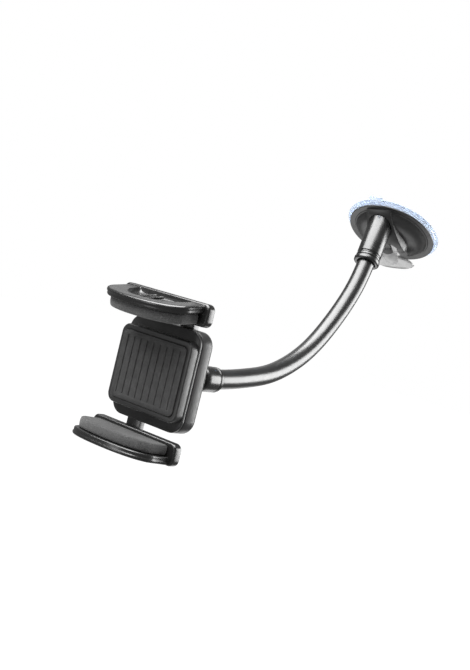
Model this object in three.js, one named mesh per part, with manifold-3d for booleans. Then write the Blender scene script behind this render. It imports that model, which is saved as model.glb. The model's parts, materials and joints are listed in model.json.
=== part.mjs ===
// Car phone mount: suction base, gooseneck arm, ball joint, and a cradle with two sliding jaws.
// Millimetres, +Z up, +Y towards the windscreen, -Y towards the driver.
// The origin is the centre of the suction face, where the cup lies on the glass.
import * as THREE from 'three';
import { mergeVertices } from 'three/addons/utils/BufferGeometryUtils.js';
import Module from 'manifold-3d';

// ---------------------------------------------------------------- driving dimensions
const GAP = 0.3; // play between touching pieces

// Base, in its own frame: +Z out of the glass, -Y to the locking lever, +Y to the pull tab.
const BASE_TURN = [151, -6.5, 8.5]; // degrees about X, Y, Z: the windscreen leans back
const CUP_RADIUS = 30.6;
const CUP_HEIGHT = 2.6;
const CUP_POCKET_RADIUS = 9.4;
const CUP_POCKET_FLOOR = 1.4;
const FLANGE_RADIUS = 28.5;
const STEM_FOOT_RADIUS = 9;
const STEM_RADIUS = 3.2;
const STEM_TRAVEL = 1.7; // how far the lever pulls the stem
const BAY_FLOOR = 6.9; // the cam heels bear here
const PIN_HEIGHT = 11.3;
const PIN_RADIUS = 1.15;
const LEVER_HALF_WIDTH = 6.9;
const LEVER_OPEN = 55; // degrees
const SLEEVE_LEAN = 4.5; // degrees from the glass normal, towards the lever
const SLEEVE_FOOT = [0, 15.4, 6.3];
const SLEEVE_RADIUS = 7.75;
const SLEEVE_LENGTH = 26.1;
const COLLAR_RADIUS = 8.2;
const COLLAR_LENGTH = 5.5;

// Gooseneck arm.
const ARM_RADIUS = 5.5;
const CORE_RADIUS = 2.6;
const ARM_ROOT_DEPTH = 20; // how far the arm goes into the sleeve
const ARM_JOINTS = [15, 47, 79, 111, 143]; // distances of the bending points from the collar
const ARM_SIDES = 16;

// Cradle, in its own frame: origin at the middle of the pad's face, +Y behind it.
const CRADLE_CENTRE = [26, -210.7, -110];
const BALL_BACK = 22.5; // the ball's centre lies this far behind the pad's face
const BALL_RADIUS = 7;
const LINER_INNER = BALL_RADIUS + 0.25;
const LINER_OUTER = 8.4;
const SOCKET_RADIUS = LINER_OUTER + GAP;
const BOSS_RADIUS = 12;
const NUT_RADIUS = 15.2;
const JAW_REACH = 42.2; // a jaw's outer face from the cradle's centre
const JAW_HALF_WIDTH = 32.5;
const JAW_PLATE = 5.2; // thickness of a jaw's back plate
const JAW_PLATE_HEIGHT = 12;
const UPPER_TILT = 10; // degrees that a lip leans in towards its front
const LOWER_TILT = 3;
const LIP_HALF_WIDTH = 29.5;
const LIP_FRONT = -24.5;
const LIP_STRAIGHT = -10; // the lip's sides run straight back from here
const LIP_THICKNESS = 4.2;
const LIP_ROUNDNESS = 2.3; // exponent of the rounded front
const FOAM_INSET = 2.5;
const FOAM_THICKNESS = 5.6;
const HOUSING_HALF = 27;
const ISLAND_HALF = 21.3; // the raised middle of the front cover, between the jaw plates
const RACK_FRONT = 9.2; // the toothed slides lie between these depths
const RACK_BACK = 12.8;
const PINION_TEETH = 10;
const PITCH_RADIUS = 5;
const TOOTH_PITCH = (2 * Math.PI * PITCH_RADIUS) / PINION_TEETH;
const SCREW_PLACE = [22.3, 17.5];

const rad = THREE.MathUtils.degToRad;

// ---------------------------------------------------------------- solids
const wasm = await Module();
wasm.setup();

// A closed three.js geometry as a solid; triangles that collapsed at an axis are dropped.
function solid(geometry) {
  const bare = geometry.clone();
  bare.deleteAttribute('normal');
  bare.deleteAttribute('uv');
  const merged = mergeVertices(bare, 1e-4);
  const index = merged.index.array;
  const triangles = [];
  for (let i = 0; i < index.length; i += 3) {
    const [a, b, c] = [index[i], index[i + 1], index[i + 2]];
    if (a !== b && b !== c && c !== a) triangles.push(a, b, c);
  }
  return new wasm.Manifold(new wasm.Mesh({
    numProp: 3,
    vertProperties: new Float32Array(merged.attributes.position.array),
    triVerts: new Uint32Array(triangles),
  }));
}

function geometryOf(body) {
  const data = body.getMesh();
  const geometry = new THREE.BufferGeometry();
  geometry.setAttribute('position', new THREE.BufferAttribute(data.vertProperties, 3));
  geometry.setIndex(new THREE.BufferAttribute(data.triVerts, 1));
  geometry.computeVertexNormals();
  return geometry;
}

const join = (...bodies) => bodies.reduce((whole, body) => whole.add(body));
const cut = (body, ...tools) => tools.reduce((whole, tool) => whole.subtract(tool), body);

const block = (x0, x1, y0, y1, z0, z1) => solid(
  new THREE.BoxGeometry(x1 - x0, y1 - y0, z1 - z0)
    .translate((x0 + x1) / 2, (y0 + y1) / 2, (z0 + z1) / 2));

// Round bars along each axis, from one end to the other.
const barZ = (radius, z0, z1, sides = 32, x = 0, y = 0) => solid(
  new THREE.CylinderGeometry(radius, radius, z1 - z0, sides)
    .rotateX(Math.PI / 2).translate(x, y, (z0 + z1) / 2));
const barY = (radius, y0, y1, sides = 32, x = 0, z = 0) => solid(
  new THREE.CylinderGeometry(radius, radius, y1 - y0, sides).translate(x, (y0 + y1) / 2, z));
const barX = (radius, x0, x1, sides, y, z) => solid(
  new THREE.CylinderGeometry(radius, radius, x1 - x0, sides)
    .rotateZ(Math.PI / 2).translate((x0 + x1) / 2, y, z));
const ball = (radius, centre, around = 24, down = 16) => solid(
  new THREE.SphereGeometry(radius, around, down).translate(...centre));

// A profile of [radius, height] points turned about Z, or about Y.
const latheZ = (profile, sides = 48) => solid(
  new THREE.LatheGeometry(profile.map(([r, h]) => new THREE.Vector2(r, h)), sides)
    .rotateX(Math.PI / 2));
const latheY = (profile, sides = 32) => solid(
  new THREE.LatheGeometry(profile.map(([r, h]) => new THREE.Vector2(r, h)), sides));

const outline = (points) => new THREE.Shape(points.map(([x, y]) => new THREE.Vector2(x, y)));

function roundedRect(x0, x1, y0, y1, r) {
  const shape = new THREE.Shape();
  shape.absarc(x1 - r, y1 - r, r, 0, Math.PI / 2);
  shape.absarc(x0 + r, y1 - r, r, Math.PI / 2, Math.PI);
  shape.absarc(x0 + r, y0 + r, r, Math.PI, Math.PI * 1.5);
  shape.absarc(x1 - r, y0 + r, r, Math.PI * 1.5, Math.PI * 2);
  shape.closePath();
  return shape;
}

const extruded = (shape, depth) =>
  new THREE.ExtrudeGeometry(shape, { depth, bevelEnabled: false, curveSegments: 4 });

// A shape drawn in XY between two heights, in XZ between two depths, or in YZ across X.
const slabXY = (shape, z0, z1) => solid(extruded(shape, z1 - z0).translate(0, 0, z0));
function slabXZ(shape, y0, y1) {
  const turn = new THREE.Matrix4().makeBasis(
    new THREE.Vector3(1, 0, 0), new THREE.Vector3(0, 0, 1), new THREE.Vector3(0, -1, 0));
  return solid(extruded(shape, y1 - y0).applyMatrix4(turn).translate(0, y1, 0));
}
function slabYZ(shape, x0, x1) {
  const turn = new THREE.Matrix4().makeBasis(
    new THREE.Vector3(0, 1, 0), new THREE.Vector3(0, 0, 1), new THREE.Vector3(1, 0, 0));
  return solid(extruded(shape, x1 - x0).applyMatrix4(turn).translate(x0, 0, 0));
}

// ---------------------------------------------------------------- scene graph
const mount = new THREE.Group();
const base = new THREE.Group();
base.rotation.set(...BASE_TURN.map(rad), 'ZYX');
const cradle = new THREE.Group();
cradle.position.set(...CRADLE_CENTRE);
mount.add(base, cradle);

const finish = (color, roughness, metalness = 0) =>
  new THREE.MeshStandardMaterial({ color, roughness, metalness });
const glossBlack = () => finish(0x1b1b1c, 0.25);
const satinBlack = () => finish(0x2b2b2c, 0.45);
const steel = () => finish(0x9a9a9c, 0.3, 1);
const whitePlastic = () => finish(0xd8d6cf, 0.4);

function piece(parent, name, body, material) {
  const mesh = new THREE.Mesh(geometryOf(body), material);
  mesh.name = name;
  parent.add(mesh);
  return mesh;
}

// ---------------------------------------------------------------- suction base
function suctionCup() {
  const disc = latheZ([
    [0, 0], [CUP_RADIUS, 0], [CUP_RADIUS, 0.8], [28.9, CUP_HEIGHT],
    [CUP_POCKET_RADIUS, CUP_HEIGHT], [CUP_POCKET_RADIUS, CUP_POCKET_FLOOR], [0, CUP_POCKET_FLOOR],
  ], 48);
  const tab = slabXY(roundedRect(-4.5, 4.5, 27, 35, 2.5), 0.4, 1.8);
  return join(disc, tab);
}

function baseCover() {
  const dome = latheZ([
    [0, 2.9], [FLANGE_RADIUS - 0.2, 2.9], [FLANGE_RADIUS, 3.3], [FLANGE_RADIUS - 0.4, 3.9],
    [24, 3.7], [23.4, 4.3], [21, 5.9], [17, 7.4], [12, 8.4], [0, 9],
  ], 48);
  const ridgePlan = outline([
    [-9, 25.6], [-12.6, -3], [-10.5, -11.5], [10.5, -11.5], [12.6, -3], [9, 25.6],
  ]);
  const ridgeSide = outline([
    [-11.5, 3.2], [25.4, 3.2], [24.4, 5.2], [17, 9.8], [9, 13], [2, 14.9], [-4, 14.8], [-8, 13],
    [-10.5, 9],
  ]);
  const ridge = slabXY(ridgePlan, 3, 16).intersect(slabYZ(ridgeSide, -14, 14));
  const bay = slabXY(roundedRect(-9.2, 9.2, -16, 4.4, 5), BAY_FLOOR, 20);
  const bayMouth = slabXY(outline([[-7.5, -9], [-6.2, -27], [6.2, -27], [7.5, -9]]), 4.4, 20);
  const footRoom = barZ(STEM_FOOT_RADIUS + 0.5, 2, 5.3, 40);
  const stemHole = barZ(STEM_RADIUS + 0.4, 5, 8, 24);
  const socket = barZ(SLEEVE_RADIUS + GAP, -GAP, 30, 40)
    .rotate([SLEEVE_LEAN, 0, 0]).translate(SLEEVE_FOOT);
  return cut(join(dome, ridge), bay, bayMouth, footRoom, stemHole, socket);
}

function cupStem() {
  const foot = barZ(STEM_FOOT_RADIUS, 3.3, 5, 40);
  const shaft = barZ(STEM_RADIUS, 4.5, 14, 24);
  const eye = barX(PIN_RADIUS + GAP, -5, 5, 16, 0, PIN_HEIGHT);
  return cut(join(foot, shaft), eye);
}

// The height of the pin over the cam's heel falls evenly as the lever opens, by the stem's travel.
function camOutline() {
  const heel = PIN_HEIGHT - BAY_FLOOR - GAP;
  const fall = STEM_TRAVEL / rad(LEVER_OPEN);
  const points = [];
  for (const turn of [0, 8, 16, 24, 32, 40, 48, LEVER_OPEN]) { // degrees from straight down
    const height = heel - fall * rad(turn);
    const [down, out] = [Math.cos(rad(turn)), Math.sin(rad(turn))];
    points.push([height * out - fall * down, PIN_HEIGHT - height * down - fall * out]);
  }
  for (const turn of [LEVER_OPEN, 80, 105, 130, 155, 180]) {
    const radius = heel - STEM_TRAVEL;
    points.push([radius * Math.sin(rad(turn)), PIN_HEIGHT - radius * Math.cos(rad(turn))]);
  }
  return points;
}

function lockLever() {
  const side = outline([
    ...camOutline(), [-4.5, 15], [-7.5, 17], [-10.5, 17.6], [-13.5, 16.6], [-20, 15.9],
    [-24.2, 14.8], [-24.6, 12.6], [-12, 12.6], [-5, 9], [-3, 7.4],
  ]);
  const plan = new THREE.Shape();
  plan.moveTo(LEVER_HALF_WIDTH, 4.5);
  plan.lineTo(-LEVER_HALF_WIDTH, 4.5);
  plan.lineTo(-LEVER_HALF_WIDTH, -3.5);
  plan.bezierCurveTo(-3.6, -8.5, -6.5, -11, -13.2, -12.8);
  plan.quadraticCurveTo(-15, -17, -11.5, -20.5);
  plan.quadraticCurveTo(-6, -24.4, 0, -24.5);
  plan.quadraticCurveTo(6, -24.4, 11.5, -20.5);
  plan.quadraticCurveTo(15, -17, 13.2, -12.8);
  plan.bezierCurveTo(6.5, -11, 3.6, -8.5, LEVER_HALF_WIDTH, -3.5);
  const whole = slabYZ(side, -16, 16).intersect(slabXY(plan, 0, 20));
  const fork = block(-STEM_RADIUS - 0.5, STEM_RADIUS + 0.5, -5.6, 6, 0, 20);
  const pinHole = barX(PIN_RADIUS + GAP, -9, 9, 16, 0, PIN_HEIGHT);
  return cut(whole, fork, pinHole);
}

const sleeveGroup = new THREE.Group();
sleeveGroup.position.set(...SLEEVE_FOOT);
sleeveGroup.rotation.x = rad(SLEEVE_LEAN);
base.add(sleeveGroup);
const BORE = ARM_RADIUS + 0.5;

piece(base, 'suction_cup', suctionCup(), finish(0xc9d6ea, 0.2));
piece(base, 'base_cover', baseCover(), satinBlack());
piece(base, 'cup_stem', cupStem(), satinBlack());
piece(base, 'lever_pin', barX(PIN_RADIUS, -6.5, 6.5, 16, 0, PIN_HEIGHT), steel());
piece(base, 'lock_lever', lockLever(), finish(0x8d8d8e, 0.4));
piece(sleeveGroup, 'neck_sleeve', latheZ([
  [0, 0], [SLEEVE_RADIUS, 0], [SLEEVE_RADIUS, SLEEVE_LENGTH - 1],
  [SLEEVE_RADIUS - 0.4, SLEEVE_LENGTH - 0.8], [SLEEVE_RADIUS - 0.4, SLEEVE_LENGTH],
  [BORE, SLEEVE_LENGTH], [BORE, 2], [0, 2],
], 32), glossBlack());
piece(sleeveGroup, 'collar_ring', latheZ([
  [BORE, SLEEVE_LENGTH + GAP], [COLLAR_RADIUS - 0.5, SLEEVE_LENGTH + GAP],
  [COLLAR_RADIUS, SLEEVE_LENGTH + 1], [COLLAR_RADIUS, SLEEVE_LENGTH + COLLAR_LENGTH - 1],
  [COLLAR_RADIUS - 0.6, SLEEVE_LENGTH + COLLAR_LENGTH], [BORE, SLEEVE_LENGTH + COLLAR_LENGTH],
  [BORE, SLEEVE_LENGTH + GAP],
], 32), glossBlack());

// ---------------------------------------------------------------- gooseneck arm
mount.updateMatrixWorld(true);
const armStart = sleeveGroup.localToWorld(new THREE.Vector3(0, 0, SLEEVE_LENGTH + COLLAR_LENGTH));
const armInside = sleeveGroup.localToWorld(
  new THREE.Vector3(0, 0, SLEEVE_LENGTH + COLLAR_LENGTH - ARM_ROOT_DEPTH));
const armAxis = armStart.clone().sub(armInside).normalize();
const ballCentre = new THREE.Vector3(...CRADLE_CENTRE).add(new THREE.Vector3(0, BALL_BACK, 0));

// From the collar down and forwards, then level towards the ball.
const armCurve = new THREE.CatmullRomCurve3([
  armStart,
  armStart.clone().addScaledVector(armAxis, 8),
  new THREE.Vector3(10.3, -45, -55.8),
  new THREE.Vector3(13.8, -65.6, -79.5),
  new THREE.Vector3(18.7, -97.2, -98.7),
  new THREE.Vector3(23.4, -129.4, -106),
  new THREE.Vector3(26.2, -156, -109.3),
  new THREE.Vector3(26.1, -168, -109.7),
]);
const armLength = armCurve.getLength();

// The stretch of the arm between two distances from the collar; it runs on straight at its ends.
class ArmStretch extends THREE.Curve {
  constructor(from, to) {
    super();
    this.from = from;
    this.to = to;
  }

  getPoint(t) {
    const distance = this.from + (this.to - this.from) * t;
    const inside = THREE.MathUtils.clamp(distance, 0, armLength);
    const point = armCurve.getPointAt(inside / armLength);
    return point.addScaledVector(armCurve.getTangentAt(inside / armLength), distance - inside);
  }
}

function armTube(radius, from, to, sides) {
  const steps = Math.max(2, Math.round((to - from) / 6));
  const circle = new THREE.Shape().absarc(0, 0, radius, 0, Math.PI * 2);
  return solid(new THREE.ExtrudeGeometry(circle, {
    steps, curveSegments: sides / 2, extrudePath: new ArmStretch(from, to),
  }));
}

const armPoint = (distance) => new ArmStretch(distance, distance).getPoint(0).toArray();

// Each length of sheath ends in a ball that fits the hollow end of the next one.
const armEnds = [-ARM_ROOT_DEPTH, ...ARM_JOINTS, armLength];
for (let i = 0; i <= ARM_JOINTS.length; i += 1) {
  const from = armEnds[i];
  const to = armEnds[i + 1];
  const isFirst = i === 0;
  const isLast = i === ARM_JOINTS.length;
  let sheath = armTube(ARM_RADIUS, from, to, ARM_SIDES);
  if (!isLast) sheath = join(sheath, ball(ARM_RADIUS, armPoint(to), ARM_SIDES, 8));
  if (!isFirst) sheath = cut(sheath, ball(ARM_RADIUS + GAP, armPoint(from), ARM_SIDES, 8));
  const coreFrom = isFirst ? from + 1 : from + ARM_RADIUS + 0.8;
  const coreTo = isLast ? to - 1 : to + ARM_RADIUS - 0.6;
  const boreTo = isLast ? to + 1 : to + ARM_RADIUS + 1;
  sheath = cut(sheath, armTube(CORE_RADIUS + GAP, from - 1, boreTo, 10));
  piece(mount, `arm_sheath_${i}`, sheath, glossBlack());
  piece(mount, `arm_core_${i}`, armTube(CORE_RADIUS, coreFrom, coreTo, 10), steel());
}

// Ferrule and ball stud, along the line from the arm's end to the ball.
const tip = new THREE.Group();
tip.position.set(...armPoint(armLength));
const toBall = ballCentre.clone().sub(tip.position);
tip.quaternion.setFromUnitVectors(new THREE.Vector3(0, 0, 1), toBall.clone().normalize());
mount.add(tip);
const STUD_NECK = 3.2;
const FERRULE_END = 4;
piece(tip, 'arm_ferrule', latheZ([
  [2.8, 0.8], [6.3, 0.8], [6.3, -9], [6.9, -9], [7.2, -8.6], [7.2, FERRULE_END - 1],
  [6.2, FERRULE_END], [2.8, FERRULE_END], [2.8, 0.8],
], 24), glossBlack());
piece(tip, 'ball_stud', join(
  barZ(2.5, 1, FERRULE_END + 0.5, 24),
  barZ(STUD_NECK, FERRULE_END + GAP, toBall.length() - 3, 24),
  ball(BALL_RADIUS, [0, 0, toBall.length()], 20, 14),
), finish(0x161617, 0.3));

// ---------------------------------------------------------------- ball joint
// Points of an arc about the ball's centre; angles in degrees from straight back.
function arcAboutBall(radius, fromAngle, toAngle, steps = 5) {
  return Array.from({ length: steps + 1 }, (_, i) => {
    const angle = rad(fromAngle + ((toAngle - fromAngle) * i) / steps);
    return [radius * Math.sin(angle), BALL_BACK + radius * Math.cos(angle)];
  });
}

function liner(fromAngle, toAngle) {
  const inner = arcAboutBall(LINER_INNER, toAngle, fromAngle);
  const outer = arcAboutBall(LINER_OUTER, fromAngle, toAngle);
  return latheY([...inner, ...outer, inner[0]].reverse(), 24);
}

piece(cradle, 'liner_rear', liner(50, 80), whitePlastic());
piece(cradle, 'liner_front', liner(110, 165), whitePlastic());

const NUT_FRONT = 19.5;
const NUT_BACK = 30.4;
function lockNut() {
  const opening = 45; // half angle of the cone that the stud swings in
  const lip = arcAboutBall(SOCKET_RADIUS, opening, 74);
  const body = latheY([
    [BOSS_RADIUS + GAP, NUT_FRONT], [NUT_RADIUS - 0.6, NUT_FRONT], [NUT_RADIUS, NUT_FRONT + 0.8],
    [NUT_RADIUS - 0.6, NUT_BACK - 1.4], [NUT_RADIUS - 2.4, NUT_BACK], [8.6, NUT_BACK],
    ...lip, [BOSS_RADIUS + GAP, 24.9], [BOSS_RADIUS + GAP, NUT_FRONT],
  ], 24);
  const ribs = [];
  for (let i = 0; i < 12; i += 1) {
    const angle = (i / 12) * Math.PI * 2;
    ribs.push(barY(1.1, NUT_FRONT + 1, NUT_BACK - 2, 6,
      (NUT_RADIUS + 0.1) * Math.cos(angle), (NUT_RADIUS + 0.1) * Math.sin(angle)));
  }
  return cut(body, ...ribs);
}
piece(cradle, 'lock_nut', lockNut(), satinBlack());

// ---------------------------------------------------------------- cradle housing
const HOUSING_FRONT = 5.6;
const SEAM = 7.4;
const HOUSING_BACK = 17;
const screwPlaces = [[1, 1], [-1, 1], [-1, -1], [1, -1]].map(
  ([sx, sz]) => [sx * SCREW_PLACE[0], sz * SCREW_PLACE[1]]);
const square = (half, corner) => roundedRect(-half, half, -half, half, corner);

function rearHousing() {
  const shell = slabXZ(square(HOUSING_HALF, 8), SEAM + GAP, HOUSING_BACK);
  const room = slabXZ(square(HOUSING_HALF - 2, 6), SEAM, HOUSING_BACK - 2.2);
  const boss = barY(BOSS_RADIUS, HOUSING_BACK - 2.2, 24.5, 24);
  const posts = screwPlaces.map(([x, z]) => barY(3.2, SEAM + GAP, HOUSING_BACK - 1, 12, x, z));
  const socket = join(
    ball(SOCKET_RADIUS, [0, BALL_BACK, 0], 24, 12), barY(SOCKET_RADIUS, BALL_BACK, 26, 24));
  const wellFloor = barY(SOCKET_RADIUS + 1.8, 13, HOUSING_BACK, 24);
  const screwHoles = screwPlaces.map(([x, z]) => barY(1.5, 5, 20, 12, x, z));
  const headSeats = screwPlaces.map(([x, z]) => barY(2.7, 15, 20, 12, x, z));
  const slots = [
    block(3.6, 17.4, RACK_FRONT - 0.4, RACK_BACK + 0.4, 20, 30),
    block(-17.4, -3.6, RACK_FRONT - 0.4, RACK_BACK + 0.4, -30, -20),
  ];
  const axleHole = barY(1.6, 10, 14.2, 16);
  return cut(join(cut(shell, room), boss, wellFloor, ...posts), socket, axleHole,
    ...screwHoles, ...headSeats, ...slots);
}

function frontCover() {
  const plate = slabXZ(square(HOUSING_HALF, 8), HOUSING_FRONT, SEAM);
  const island = slabXZ(
    roundedRect(-HOUSING_HALF, HOUSING_HALF, -ISLAND_HALF, ISLAND_HALF, 5), 0.6, HOUSING_FRONT + 0.2);
  const padSeat = slabXZ(roundedRect(-24.3, 24.3, -18.6, 18.6, 3.3), 0, 1.8);
  const hollow = slabXZ(roundedRect(-18.6, 18.6, -18.5, 18.5, 3), 3.4, SEAM + 1);
  const boss = barY(3.4, 3, SEAM, 16);
  const axleHole = barY(1.6, 4.6, SEAM + 1, 16);
  const screwHoles = screwPlaces.map(([x, z]) => barY(1.5, 3, SEAM + 1, 12, x, z));
  return cut(join(cut(join(plate, island), padSeat, hollow), boss), axleHole, ...screwHoles);
}

piece(cradle, 'rear_housing', rearHousing(), satinBlack());
piece(cradle, 'front_cover', frontCover(), satinBlack());
const pad = slabXZ(roundedRect(-24, 24, -18.3, 18.3, 3), 0, 1.5);
piece(cradle, 'front_pad', pad, finish(0x222223, 0.8));
screwPlaces.forEach(([x, z], i) => {
  const screw = join(barY(1.2, 3.4, 15.6, 8, x, z), barY(2.4, 15.3, 16.7, 12, x, z));
  piece(cradle, `housing_screw_${i + 1}`, screw, steel());
});

// ---------------------------------------------------------------- rack and pinion
const ADDENDUM = 0.8;
const DEDENDUM = 1.1;
const HALF_TOOTH = { tip: 0.35, pitch: 0.62, root: 0.8 }; // half thicknesses along the pitch line

function pinionOutline() {
  const points = [];
  for (let i = 0; i < PINION_TEETH; i += 1) {
    const middle = (i / PINION_TEETH) * Math.PI * 2;
    const flank = [
      [PITCH_RADIUS - DEDENDUM, -HALF_TOOTH.root], [PITCH_RADIUS, -HALF_TOOTH.pitch],
      [PITCH_RADIUS + ADDENDUM, -HALF_TOOTH.tip], [PITCH_RADIUS + ADDENDUM, HALF_TOOTH.tip],
      [PITCH_RADIUS, HALF_TOOTH.pitch], [PITCH_RADIUS - DEDENDUM, HALF_TOOTH.root],
    ];
    flank.forEach(([r, half]) => {
      points.push([r * Math.cos(middle + half / r), r * Math.sin(middle + half / r)]);
    });
  }
  return outline(points);
}

// The toothed slide of a jaw: teeth face the pinion, with a space between teeth at its centre.
const RACK_END = -15;
const RACK_TEETH_END = 13;
const RACK_SIDE = 16;
function rackOutline(top) {
  const root = PITCH_RADIUS + DEDENDUM;
  const crest = PITCH_RADIUS - ADDENDUM;
  const points = [[RACK_SIDE, RACK_END], [RACK_SIDE, top], [root, top]];
  const firstTooth = Math.floor(RACK_TEETH_END / TOOTH_PITCH);
  const lastTooth = Math.ceil(RACK_END / TOOTH_PITCH);
  for (let i = firstTooth; i >= lastTooth; i -= 1) {
    const middle = (i - 0.5) * TOOTH_PITCH;
    if (middle - HALF_TOOTH.root > RACK_END) {
      points.push(
        [root, middle + HALF_TOOTH.root], [PITCH_RADIUS, middle + HALF_TOOTH.pitch],
        [crest, middle + HALF_TOOTH.tip], [crest, middle - HALF_TOOTH.tip],
        [PITCH_RADIUS, middle - HALF_TOOTH.pitch], [root, middle - HALF_TOOTH.root]);
    }
  }
  points.push([root, RACK_END]);
  return outline(points.reverse());
}

const AXLE_RADIUS = 1.3;
const toothedWheel = slabXZ(pinionOutline(), RACK_FRONT, RACK_BACK);
piece(cradle, 'pinion', cut(toothedWheel, barY(AXLE_RADIUS + GAP, 5, 15, 16)), whitePlastic());
piece(cradle, 'pinion_axle', barY(AXLE_RADIUS, 5, 13.8, 16), steel());

// A steel leaf whose nose clicks over the pinion's teeth.
function detentSpring() {
  const leaf = outline([
    [-2.6, -24.7], [2.6, -24.7], [2.6, -23.5], [0.5, -23.5], [0.5, -8.2], [0, -6.9], [-0.5, -8.2],
    [-0.5, -23.5], [-2.6, -23.5],
  ]);
  return slabXZ(leaf, 9.6, 12.4);
}
piece(cradle, 'detent_spring', detentSpring(), steel());

// ---------------------------------------------------------------- jaws
// The lip's outline: straight sides, and a front rounded as a superellipse.
function lipOutline(inset, back) {
  const halfWidth = LIP_HALF_WIDTH - inset;
  const depth = LIP_STRAIGHT - LIP_FRONT - inset;
  const steps = 28;
  const points = [[-halfWidth, back]];
  for (let i = 0; i <= steps; i += 1) {
    const angle = Math.PI - (i / steps) * Math.PI;
    const along = Math.cos(angle);
    points.push([
      halfWidth * Math.sign(along) * Math.abs(along) ** (2 / LIP_ROUNDNESS),
      LIP_STRAIGHT - depth * Math.sin(angle) ** (2 / LIP_ROUNDNESS),
    ]);
  }
  points.push([halfWidth, back]);
  return outline(points);
}

// Turns a body drawn flat under the lip's outer face into its leaning place on a jaw.
const lean = (body, tilt) => body.translate([0, -JAW_PLATE, 0]).rotate([tilt, 0, 0])
  .translate([0, JAW_PLATE, JAW_REACH]);

// Finger hold sunk in the lip's outer face.
const HOLD_DEPTH = 2.6;
function fingerHold() {
  const shape = new THREE.Shape();
  shape.moveTo(-18, 1.6);
  shape.lineTo(18, 1.6);
  shape.bezierCurveTo(17, -9, 9, -15.5, 0, -15.5);
  shape.bezierCurveTo(-9, -15.5, -17, -9, -18, 1.6);
  return slabXY(shape, -HOLD_DEPTH, 2);
}

function jaw(tilt) {
  const plateShape = roundedRect(
    -JAW_HALF_WIDTH, JAW_HALF_WIDTH, JAW_REACH - JAW_PLATE_HEIGHT, JAW_REACH, 3.5);
  const plate = slabXZ(plateShape, 0, JAW_PLATE);
  const flatLip = slabXY(lipOutline(0, JAW_PLATE - 0.5), -LIP_THICKNESS, 0);
  const lip = lean(cut(flatLip, fingerHold()), tilt);
  const top = JAW_REACH - 0.8; // of the slide and of the riser that joins it to the plate
  const riser = block(PITCH_RADIUS + DEDENDUM, RACK_SIDE, JAW_PLATE - 1, RACK_BACK, 36, top);
  const slide = slabXZ(rackOutline(top), RACK_FRONT, RACK_BACK);
  return join(plate, lip, riser, slide);
}

// The pad's back edge stays clear of the jaw's plate once it leans.
function foam(tilt) {
  const top = -LIP_THICKNESS - GAP;
  const bottom = top - FOAM_THICKNESS;
  const back = JAW_PLATE - (JAW_PLATE + GAP - bottom * Math.sin(rad(tilt))) / Math.cos(rad(tilt));
  return lean(slabXY(lipOutline(FOAM_INSET, back), bottom, top), tilt);
}

const foamGrey = () => finish(0x4a4a4c, 0.95);
const upperSide = new THREE.Group();
const lowerSide = new THREE.Group();
lowerSide.rotation.y = Math.PI;
cradle.add(upperSide, lowerSide);
piece(upperSide, 'upper_jaw', jaw(UPPER_TILT), glossBlack());
piece(upperSide, 'upper_foam', foam(UPPER_TILT), foamGrey());
piece(lowerSide, 'lower_jaw', jaw(LOWER_TILT), glossBlack());
piece(lowerSide, 'lower_foam', foam(LOWER_TILT), foamGrey());

export default mount;
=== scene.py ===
"""Car phone mount: the fine shapes and finishes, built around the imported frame.

Shapes are drawn in millimetres in each part's own axes, and a matrix puts them in the frame, in
metres. Base axes: +Z out of the glass, -Y to the locking lever, +Y to the pull tab. Cradle axes:
from the middle of the pad's face, +X right, +Y behind the pad, +Z up.
"""
import json
import math

import bpy
import numpy as np
from mathutils import Matrix, Vector


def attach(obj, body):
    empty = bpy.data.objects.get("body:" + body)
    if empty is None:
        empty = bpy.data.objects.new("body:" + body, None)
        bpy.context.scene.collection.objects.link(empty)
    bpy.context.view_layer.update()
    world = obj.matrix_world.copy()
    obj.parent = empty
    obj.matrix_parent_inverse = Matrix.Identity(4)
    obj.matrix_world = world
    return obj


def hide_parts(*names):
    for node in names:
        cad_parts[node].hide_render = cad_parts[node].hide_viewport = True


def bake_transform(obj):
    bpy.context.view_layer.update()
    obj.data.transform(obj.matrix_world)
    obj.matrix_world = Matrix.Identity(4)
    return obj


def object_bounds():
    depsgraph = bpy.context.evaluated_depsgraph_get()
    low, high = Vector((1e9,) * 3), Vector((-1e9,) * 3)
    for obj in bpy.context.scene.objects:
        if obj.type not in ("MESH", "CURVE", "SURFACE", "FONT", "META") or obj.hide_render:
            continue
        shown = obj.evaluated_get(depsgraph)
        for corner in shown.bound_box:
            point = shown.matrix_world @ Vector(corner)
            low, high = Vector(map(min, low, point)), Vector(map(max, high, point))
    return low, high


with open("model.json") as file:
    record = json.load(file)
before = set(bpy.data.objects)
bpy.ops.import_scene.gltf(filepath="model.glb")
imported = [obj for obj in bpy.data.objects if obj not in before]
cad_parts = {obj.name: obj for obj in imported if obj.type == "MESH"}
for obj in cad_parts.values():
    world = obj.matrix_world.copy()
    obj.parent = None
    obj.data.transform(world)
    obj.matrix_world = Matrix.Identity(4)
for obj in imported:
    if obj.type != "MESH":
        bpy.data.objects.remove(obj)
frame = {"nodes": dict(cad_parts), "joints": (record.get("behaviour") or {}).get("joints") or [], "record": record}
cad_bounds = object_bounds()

MM = 0.001
joints = {j["name"]: j for j in frame["joints"]}
mounts = {m["name"]: m for m in frame["record"]["mounts"]}


# ---------------------------------------------------------------- places
def axes(origin, x=(1, 0, 0), y=(0, 1, 0), z=(0, 0, 1)):
    """Matrix from local millimetres to the frame; the origin is in metres."""
    turn = Matrix((x, y, z)).transposed().to_4x4()
    return Matrix.Translation(Vector(origin)) @ turn @ Matrix.Scale(MM, 4)


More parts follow.
